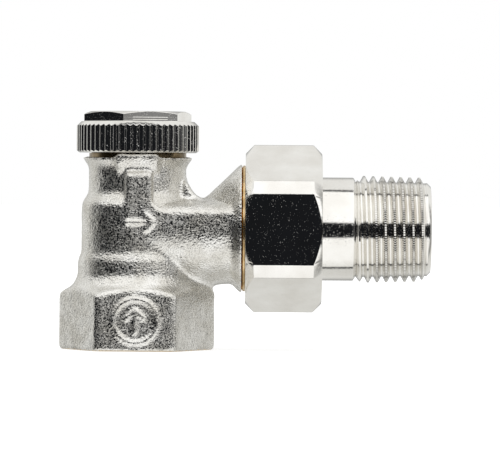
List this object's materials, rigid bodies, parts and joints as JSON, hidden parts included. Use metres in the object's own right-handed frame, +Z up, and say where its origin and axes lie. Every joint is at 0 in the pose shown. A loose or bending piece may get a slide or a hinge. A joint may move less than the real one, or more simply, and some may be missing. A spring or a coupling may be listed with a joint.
{
  "type": "lockshield radiator valve",
  "caption": "Angle-pattern lockshield radiator valve with screw cap, hidden shut-off spindle, presetting screw, female pipe inlet and union with male pipe tail.",
  "frame": {"origin": "centre of the inlet mouth, on the spindle axis", "axes": "+Z up along the spindle axis to the screw cap, +X along the union axis to the radiator, Y across the valve"},
  "size_m": [0.0736, 0.03, 0.047],
  "materials": {
    "cast_nickel": "nickel plate over a blasted brass casting, satin",
    "bright_nickel": "bright nickel plate over turned brass",
    "bare_brass": "machined brass",
    "black_rubber": "moulded EPDM",
    "spring_steel": "spring steel, oiled"
  },
  "bodies": {
    "housing": {"valve_body": "cast_nickel", "bonnet_insert": "bare_brass", "bonnet_o_ring": "black_rubber", "spindle_retaining_ring": "spring_steel"},
    "cap_carrier": {"cap_gasket": "black_rubber"},
    "cap": {"screw_cap": "bright_nickel"},
    "spindle_carrier": {"seat_seal": "black_rubber"},
    "spindle": {"shutoff_spindle": "bare_brass", "shutoff_cone": "bare_brass", "spindle_o_ring_lower": "black_rubber", "spindle_o_ring_upper": "black_rubber"},
    "presetting_carrier": {"presetting_o_ring": "black_rubber"},
    "presetting": {"presetting_screw": "bare_brass", "throttle_plug": "bare_brass"},
    "tail": {"tailpiece": "bright_nickel", "tail_o_ring": "black_rubber"},
    "nut": {"union_nut": "bright_nickel"}
  },
  "joints": [
    {"name": "cap_lift", "type": "slide", "parent": "housing", "child": "cap_carrier", "axis": [0, 0, 1], "range_m": [0, 0.0045]},
    {"name": "cap_turn", "type": "hinge", "parent": "cap_carrier", "child": "cap", "pos_m": [0, 0, 0.042], "axis": [0, 0, 1], "range_deg": [0, 1080]},
    {"name": "spindle_lift", "type": "slide", "parent": "housing", "child": "spindle_carrier", "axis": [0, 0, 1], "range_m": [0, 0.003]},
    {"name": "spindle_turn", "type": "hinge", "parent": "spindle_carrier", "child": "spindle", "pos_m": [0, 0, 0.03], "axis": [0, 0, 1], "range_deg": [0, 1080]},
    {"name": "presetting_lift", "type": "slide", "parent": "spindle", "child": "presetting_carrier", "axis": [0, 0, 1], "range_m": [0, 0.003]},
    {"name": "presetting_turn", "type": "hinge", "parent": "presetting_carrier", "child": "presetting", "pos_m": [0, 0, 0.028], "axis": [0, 0, 1], "range_deg": [0, 1440]},
    {"name": "tail_draw", "type": "slide", "parent": "housing", "child": "tail", "axis": [1, 0, 0], "range_m": [0, 0.0075]},
    {"name": "nut_turn", "type": "hinge", "parent": "tail", "child": "nut", "pos_m": [0.029, 0, 0.024], "axis": [1, 0, 0], "range_deg": [0, 1800]}
  ],
  "couplings": [
    {"joint": "cap_lift", "follows": "cap_turn", "m_per_rad": 0.00023873},
    {"joint": "spindle_lift", "follows": "spindle_turn", "m_per_rad": 0.00015915},
    {"joint": "presetting_lift", "follows": "presetting_turn", "m_per_rad": 0.00011937},
    {"joint": "tail_draw", "follows": "nut_turn", "m_per_rad": 0.00023873}
  ]
}
